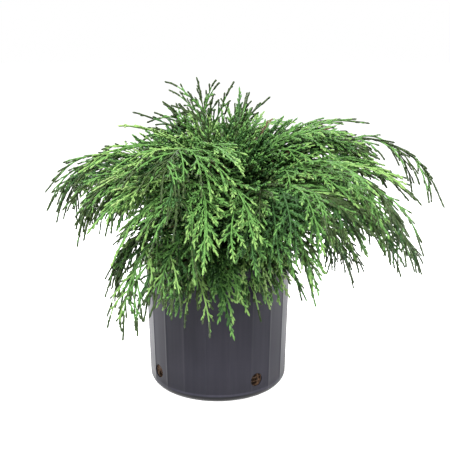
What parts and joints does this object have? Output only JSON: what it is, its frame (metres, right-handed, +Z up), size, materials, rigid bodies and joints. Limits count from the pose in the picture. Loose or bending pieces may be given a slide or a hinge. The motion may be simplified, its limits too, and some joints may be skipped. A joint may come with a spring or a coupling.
{
  "type": "potted siberian cypress shrub",
  "caption": "Low spreading evergreen shrub with feathery arching plumes that droop over the rim of a fluted plastic nursery pot.",
  "frame": {"origin": "centre of the pot's flat underside", "axes": "+Z up, -Y towards the front seen in the picture, +X to its right"},
  "size_m": [0.6251, 0.57, 0.4907],
  "materials": {
    "pot_plastic": "moulded, slightly glossy, scuffed",
    "potting_mix": "crumbly bark and peat",
    "bark": "fibrous, matt",
    "leaves": "fine scale leaves, satin"
  },
  "bodies": {
    "root": {"pot": "pot_plastic", "soil": "potting_mix", "trunk": "bark", "bough_arch_1": "bark", "bough_arch_10": "bark", "bough_arch_2": "bark", "bough_arch_3": "bark", "bough_arch_4": "bark", "bough_arch_5": "bark", "bough_arch_6": "bark", "bough_arch_7": "bark", "bough_arch_8": "bark", "bough_arch_9": "bark", "bough_rim_1": "bark", "bough_rim_10": "bark", "bough_rim_2": "bark", "bough_rim_3": "bark", "bough_rim_4": "bark", "bough_rim_5": "bark", "bough_rim_6": "bark", "bough_rim_7": "bark", "bough_rim_8": "bark", "bough_rim_9": "bark", "bough_top_1": "bark", "bough_top_2": "bark", "bough_top_3": "bark", "bough_upper_1": "bark", "bough_upper_2": "bark", "bough_upper_3": "bark", "bough_upper_4": "bark", "bough_upper_5": "bark", "foliage_arch_1": "leaves", "foliage_arch_10": "leaves", "foliage_arch_2": "leaves", "foliage_arch_3": "leaves", "foliage_arch_4": "leaves", "foliage_arch_5": "leaves", "foliage_arch_6": "leaves", "foliage_arch_7": "leaves", "foliage_arch_8": "leaves", "foliage_arch_9": "leaves", "foliage_rim_1": "leaves", "foliage_rim_10": "leaves", "foliage_rim_2": "leaves", "foliage_rim_3": "leaves", "foliage_rim_4": "leaves", "foliage_rim_5": "leaves", "foliage_rim_6": "leaves", "foliage_rim_7": "leaves", "foliage_rim_8": "leaves", "foliage_rim_9": "leaves", "foliage_top_1": "leaves", "foliage_top_2": "leaves", "foliage_top_3": "leaves", "foliage_upper_1": "leaves", "foliage_upper_2": "leaves", "foliage_upper_3": "leaves", "foliage_upper_4": "leaves", "foliage_upper_5": "leaves"}
  },
  "joints": []
}
